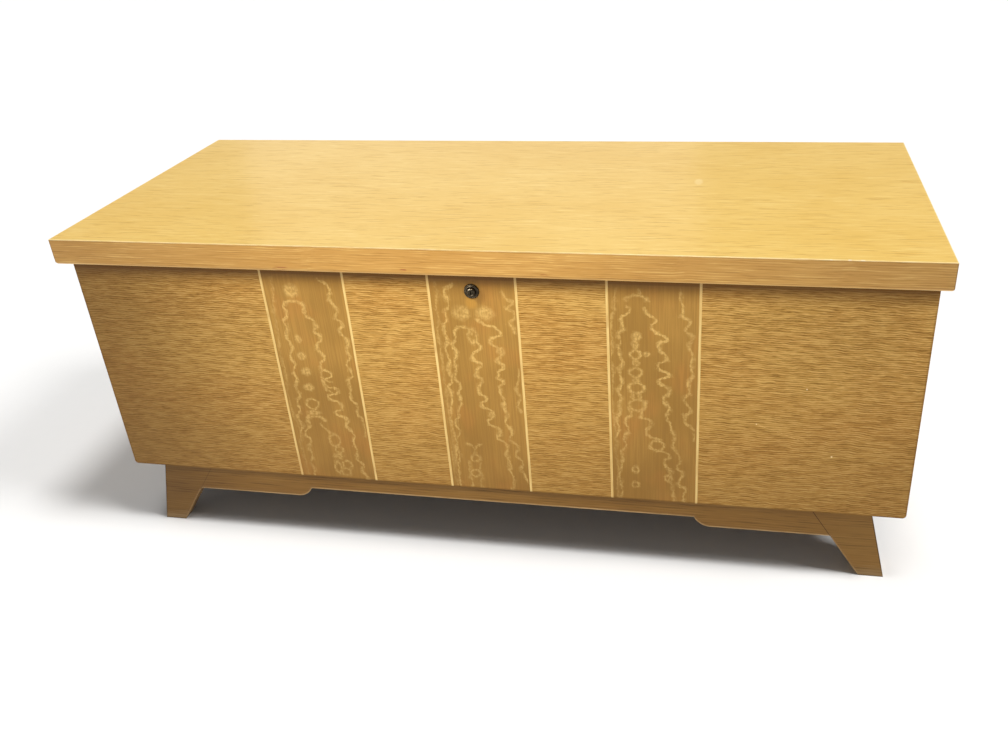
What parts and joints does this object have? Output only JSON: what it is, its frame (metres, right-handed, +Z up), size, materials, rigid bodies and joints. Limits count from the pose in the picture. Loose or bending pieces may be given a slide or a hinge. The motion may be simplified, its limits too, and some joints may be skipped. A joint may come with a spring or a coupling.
{
  "type": "blanket chest",
  "caption": "Low cedar-lined wooden chest with a hinged overhanging lid, splayed bracket feet, inlaid front bands, lid stays and a push-button lock.",
  "frame": {"origin": "on the floor, below the centre of the chest's bounding box with its hinge barrels", "axes": "+X along the length to the right seen from the front, -Y to the front with the lock, +Z up"},
  "size_m": [1.092, 0.4478, 0.464],
  "materials": {
    "core_wood": "bare sawn hardwood and plywood",
    "field_veneer": "lacquered oak veneer, grain across",
    "band_veneer": "lacquered veneer with pale meandering figure, grain upright",
    "string_inlay": "pale string inlay under lacquer",
    "end_veneer": "lacquered oak veneer",
    "cedar": "bare planed cedar",
    "base_oak": "lacquered oak",
    "lid_rail_oak": "lacquered oak, coarse straight grain",
    "lid_veneer": "glossy lacquered oak veneer",
    "felt": "brown felt",
    "brass_hardware": "brushed brass",
    "stay_steel": "zinc plated steel",
    "screw_steel": "steel",
    "spring_steel": "spring wire",
    "lock_bronze": "dark bronzed brass",
    "plug_brass": "worn bronzed brass"
  },
  "bodies": {
    "case": {"front_core": "core_wood", "back_core": "core_wood", "left_end_core": "core_wood", "right_end_core": "core_wood", "corner_splines": "core_wood", "bottom_board": "core_wood", "front_field_veneers": "field_veneer", "front_band_veneers": "band_veneer", "front_string_inlays": "string_inlay", "left_end_veneer": "end_veneer", "right_end_veneer": "end_veneer", "back_veneer": "end_veneer", "cedar_floor": "cedar", "cedar_front": "cedar", "cedar_back": "cedar", "cedar_left": "cedar", "cedar_right": "cedar", "front_apron": "base_oak", "back_apron": "base_oak", "left_apron": "base_oak", "right_apron": "base_oak", "left_front_foot_face": "base_oak", "left_front_foot_side": "base_oak", "left_back_foot_face": "base_oak", "left_back_foot_side": "base_oak", "right_front_foot_face": "base_oak", "right_front_foot_side": "base_oak", "right_back_foot_face": "base_oak", "right_back_foot_side": "base_oak", "corner_blocks": "core_wood", "base_cleats": "core_wood", "base_screws": "screw_steel", "hinge_case_leaves": "brass_hardware", "hinge_pins": "brass_hardware", "stay_stud_plates": "stay_steel", "lock_case": "stay_steel", "lock_cover": "stay_steel", "lock_collar": "lock_bronze", "button_spring": "spring_steel", "hinge_case_screws": "screw_steel", "stay_and_lock_screws": "screw_steel"},
    "lid": {"lid_front_rail": "lid_rail_oak", "lid_back_rail": "lid_rail_oak", "lid_left_rail": "lid_rail_oak", "lid_right_rail": "lid_rail_oak", "lid_panel": "core_wood", "lid_cedar_boards": "cedar", "lid_top_veneer": "lid_veneer", "lid_bumpers": "felt", "hinge_lid_leaves": "brass_hardware", "stay_lid_brackets": "stay_steel", "stay_pivot_rivets": "stay_steel", "strike_plate": "stay_steel", "hinge_lid_screws": "screw_steel", "bracket_and_strike_screws": "screw_steel"},
    "left_stay": {"left_stay_arm": "stay_steel"},
    "right_stay": {"right_stay_arm": "stay_steel"},
    "button": {"lock_button": "lock_bronze"},
    "plug": {"key_plug": "plug_brass"},
    "bolt": {"lock_bolt": "stay_steel"}
  },
  "joints": [
    {"name": "lid_hinge", "type": "hinge", "parent": "case", "child": "lid", "pos_m": [0, 0.2207, 0.4282], "axis": [-1, 0, 0], "range_deg": [0, 97]},
    {"name": "left_stay_swing", "type": "hinge", "parent": "lid", "child": "left_stay", "pos_m": [-0.5125, 0.09157, 0.4132], "axis": [-1, 0, 0], "range_deg": [-48.5, 0]},
    {"name": "right_stay_swing", "type": "hinge", "parent": "lid", "child": "right_stay", "pos_m": [0.5125, 0.09157, 0.4132], "axis": [-1, 0, 0], "range_deg": [-48.5, 0]},
    {"name": "button_press", "type": "slide", "parent": "case", "child": "button", "axis": [0, 1, 0], "range_m": [0, 0.003], "stiffness_N_per_m": 600, "springref_m": -0.003},
    {"name": "key_turn", "type": "hinge", "parent": "button", "child": "plug", "pos_m": [0, -0.205, 0.403], "axis": [0, 1, 0], "range_deg": [0, 90]},
    {"name": "bolt_slide", "type": "slide", "parent": "case", "child": "bolt", "axis": [1, 0, 0], "range_m": [0, 0.00708]}
  ],
  "couplings": [
    {"joint": "left_stay_swing", "follows": "lid_hinge", "ratio": -0.5},
    {"joint": "right_stay_swing", "follows": "lid_hinge", "ratio": -0.5},
    {"joint": "bolt_slide", "follows": "key_turn", "m_per_rad": 0.0045016}
  ]
}
